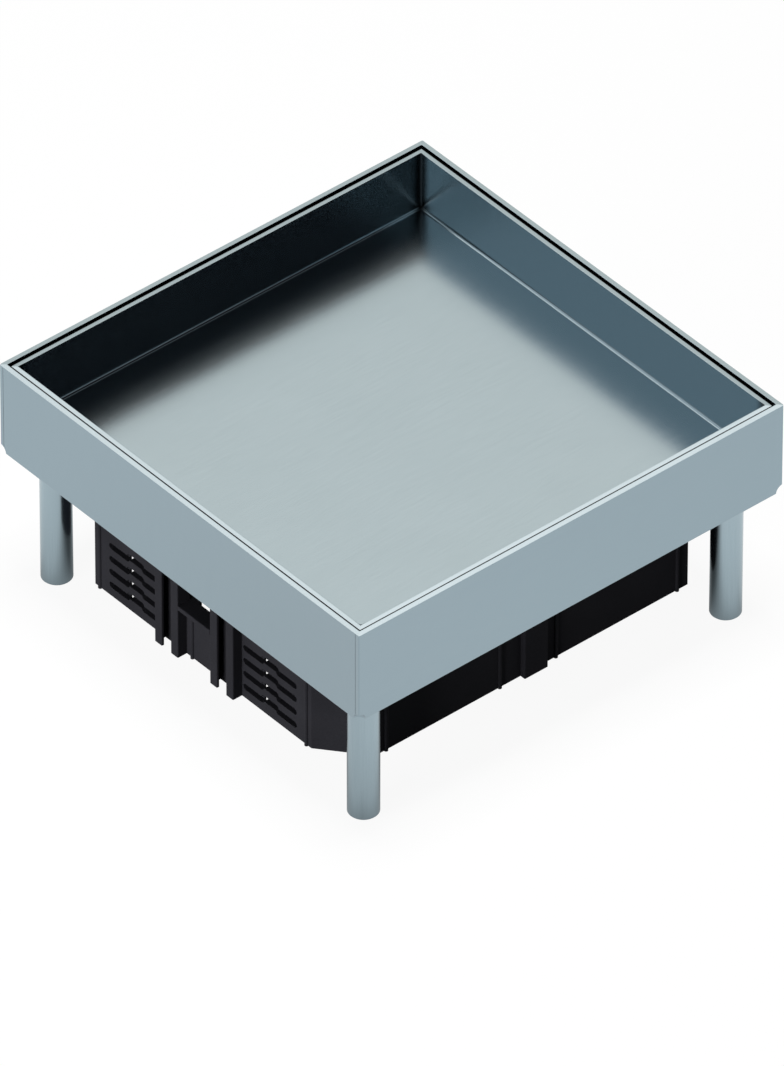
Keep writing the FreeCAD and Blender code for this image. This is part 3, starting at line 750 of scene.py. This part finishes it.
class FLOORBOX_OT_stage(bpy.types.Operator):
    """Set the floor, the light and the camera"""

    bl_idname = "floorbox.stage"
    bl_label = "Set stage"

    def execute(self, context):
        stage = context.scene.floorbox_stage
        self.lay_floor(stage)
        self.light_world(context.scene, stage)
        self.hang_lamp(context.scene, "Side_lamp", stage.side_place, stage.side_power, stage.side_size)
        self.hang_lamp(context.scene, "Top_lamp", stage.top_place, stage.top_power, stage.top_size)
        self.set_camera(context.scene, stage)
        context.scene.view_settings.view_transform = "Standard"
        return {"FINISHED"}

    def lay_floor(self, stage):
        """Pale floor: nearly white as it is seen, shaded as it is mirrored, and faint light for matt sides."""
        clear_selection()
        bpy.ops.mesh.primitive_plane_add(size=stage.floor_size, location=(0, 0, CAD_BOX[0].z))
        floor = bpy.context.object
        floor.name = "studio_floor"
        material, tree, output = new_material("Matt_white_floor")
        seen = add_node(tree, "ShaderNodeLightPath").outputs
        direct = add_node(tree, "ShaderNodeMath", {
            0: seen["Is Camera Ray"], 1: seen["Is Transmission Ray"]}, operation="ADD").outputs[0]
        shown = add_node(tree, "ShaderNodeMath", {
            0: direct, 1: seen["Is Glossy Ray"]}, operation="ADD").outputs[0]
        share = add_node(tree, "ShaderNodeMath", {
            0: shown, 1: stage.floor_white}, operation="MULTIPLY", use_clamp=True).outputs[0]
        tint = add_node(tree, "ShaderNodeMix", {
            0: seen["Is Diffuse Ray"], 6: rgba(stage.floor_colour),
            7: rgba(stage.floor_colour, stage.floor_bounce)}, data_type="RGBA").outputs[2]
        paper = add_node(tree, "ShaderNodeBsdfDiffuse", {"Color": tint}).outputs[0]
        level = add_node(tree, "ShaderNodeMix", {
            0: seen["Is Glossy Ray"], 2: 1.0, 3: self.mirrored_level(tree, stage)}).outputs[0]
        white = add_node(tree, "ShaderNodeEmission", {"Color": WHITE, "Strength": level}).outputs[0]
        mixed = add_node(tree, "ShaderNodeMixShader", {0: share, 1: paper, 2: white}).outputs[0]
        tree.links.new(mixed, output.inputs["Surface"])
        floor.data.materials.append(material)

    def mirrored_level(self, tree, stage):
        """Level of the floor that the steel mirrors, with painted shade under the box, at each foot and in a
        grey patch.
        """
        place = add_node(tree, "ShaderNodeTexCoord").outputs["Object"]
        corner = add_node(tree, "ShaderNodeVectorMath", {0: place}, operation="ABSOLUTE").outputs[0]
        axes = add_node(tree, "ShaderNodeSeparateXYZ", {0: corner})
        from_middle = add_node(tree, "ShaderNodeMath", {
            0: axes.outputs["X"], 1: axes.outputs["Y"]}, operation="MAXIMUM").outputs[0]
        low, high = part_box("leg_back")
        foot = (low + high) / 2
        from_foot = add_node(tree, "ShaderNodeVectorMath", {
            0: corner, 1: (foot.x, foot.y, 0)}, operation="DISTANCE").outputs[1]
        # Painted shade: the grey patch beside the slotted end
        from_mirrored_shade = add_node(tree, "ShaderNodeVectorMath", {
            0: place, 1: stage.mirrored_shade_place}, operation="DISTANCE").outputs[1]
        level = 1.0
        for distance, full, end, shade in (
                (from_middle, stage.under_from, stage.under_to, stage.under_level),
                (from_foot, stage.foot_from, stage.foot_to, stage.foot_level),
                (from_mirrored_shade, 0.0, stage.mirrored_shade_reach, stage.mirrored_shade_level)):
            part = add_node(tree, "ShaderNodeMapRange", {
                "Value": distance, "From Min": full, "From Max": end, "To Min": shade},
                interpolation_type="SMOOTHSTEP").outputs[0]
            level = add_node(tree, "ShaderNodeMath", {0: level, 1: part}, operation="MULTIPLY").outputs[0]
        return level

    def light_world(self, scene, stage):
        """White as it is seen, with a faint even fill for matt sides and the mirrored zones for the metal."""
        world = bpy.data.worlds.new("White_studio")
        scene.world = world
        world.use_nodes = True
        tree = world.node_tree
        tree.nodes.clear()
        seen = add_node(tree, "ShaderNodeLightPath").outputs
        fill, mirrored, white = (
            add_node(tree, "ShaderNodeBackground", {"Color": light, "Strength": level}).outputs[0]
            for light, level in ((WHITE, stage.fill_level), (studio_reflections(tree), 1.0), (WHITE, 1.0)))
        direct = add_node(tree, "ShaderNodeMath", {
            0: seen["Is Camera Ray"], 1: seen["Is Transmission Ray"]}, operation="ADD").outputs[0]
        with_gloss = add_node(tree, "ShaderNodeMixShader", {
            0: seen["Is Glossy Ray"], 1: fill, 2: mirrored}).outputs[0]
        shown = add_node(tree, "ShaderNodeMixShader", {0: direct, 1: with_gloss, 2: white}).outputs[0]
        add_node(tree, "ShaderNodeOutputWorld", {"Surface": shown})

    def hang_lamp(self, scene, name, place, watts, size):
        """Rectangular lamp that faces the box and isn't seen or mirrored itself."""
        lamp = bpy.data.lights.new(name, "AREA")
        lamp.energy = watts
        lamp.shape = "RECTANGLE"
        lamp.size, lamp.size_y = size
        hung = bpy.data.objects.new(name, lamp)
        scene.collection.objects.link(hung)
        hung.location = place
        hung.rotation_euler = (-hung.location).to_track_quat("-Z", "Y").to_euler()
        hung.visible_camera = False
        hung.visible_glossy = False

    def set_camera(self, scene, stage):
        """Camera with the photograph's angles, lens, roll and aim."""
        back = towards(stage.azimuth, stage.elevation)
        level_right = Vector((math.cos(stage.azimuth), math.sin(stage.azimuth), 0))
        level_up = back.cross(level_right)
        cos_r, sin_r = math.cos(stage.roll), math.sin(stage.roll)
        right = cos_r * level_right + sin_r * level_up
        up = cos_r * level_up - sin_r * level_right
        ahead = (right * math.tan(stage.aim_right) - up * math.tan(stage.aim_down) - back).normalized()
        side = ahead.cross(up).normalized()
        turn = Matrix((side, side.cross(ahead), -ahead)).transposed()
        camera = bpy.data.cameras.new("Photo_camera")
        camera.lens = stage.lens
        camera.sensor_width = 36.0
        camera.clip_end = 4 * stage.distance
        seat = bpy.data.objects.new("Photo_camera", camera)
        scene.collection.objects.link(seat)
        seat.location = Vector((0, 0, CAD_BOX[1].z)) + back * stage.distance
        seat.rotation_euler = turn.to_euler()
        scene.camera = seat


class FLOORBOX_PT_panel(bpy.types.Panel):
    """Lists the floor box's steps and settings"""

    bl_idname = "FLOORBOX_PT_panel"
    bl_label = "Floor box"
    bl_space_type = "VIEW_3D"
    bl_region_type = "UI"
    bl_category = "Floor Box"

    def draw(self, context):
        for step in STEPS:
            self.layout.operator(step.bl_idname)
        scene = context.scene
        for group in (scene.floorbox_finishes, scene.floorbox_screws, scene.floorbox_stage):
            settings = self.layout.box()
            for name in group.__annotations__:
                settings.prop(group, name)


STEPS = (
    FLOORBOX_OT_sheet,
    FLOORBOX_OT_legs,
    FLOORBOX_OT_insert,
    FLOORBOX_OT_gasket,
    FLOORBOX_OT_fixings,
    FLOORBOX_OT_levelling_screws,
    FLOORBOX_OT_insert_screws,
    FLOORBOX_OT_stage,
)
GROUPS = {
    "floorbox_finishes": FloorBoxFinishes,
    "floorbox_screws": FloorBoxScrews,
    "floorbox_stage": FloorBoxStage,
}


def register():
    """Register the settings, the steps and the panel."""
    for name, group in GROUPS.items():
        bpy.utils.register_class(group)
        setattr(bpy.types.Scene, name, PointerProperty(type=group))
    for step in STEPS:
        bpy.utils.register_class(step)
    bpy.utils.register_class(FLOORBOX_PT_panel)


def unregister():
    """Take the panel, the steps and the settings out again."""
    bpy.utils.unregister_class(FLOORBOX_PT_panel)
    for step in reversed(STEPS):
        bpy.utils.unregister_class(step)
    for name, group in GROUPS.items():
        delattr(bpy.types.Scene, name)
        bpy.utils.unregister_class(group)


def main():
    """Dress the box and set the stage."""
    register()
    bpy.ops.floorbox.sheet()
    bpy.ops.floorbox.legs()
    bpy.ops.floorbox.insert()
    bpy.ops.floorbox.gasket()
    bpy.ops.floorbox.fixings()
    bpy.ops.floorbox.levelling_screws()
    bpy.ops.floorbox.insert_screws()
    bpy.ops.floorbox.stage()


if __name__ == "__main__":
    main()
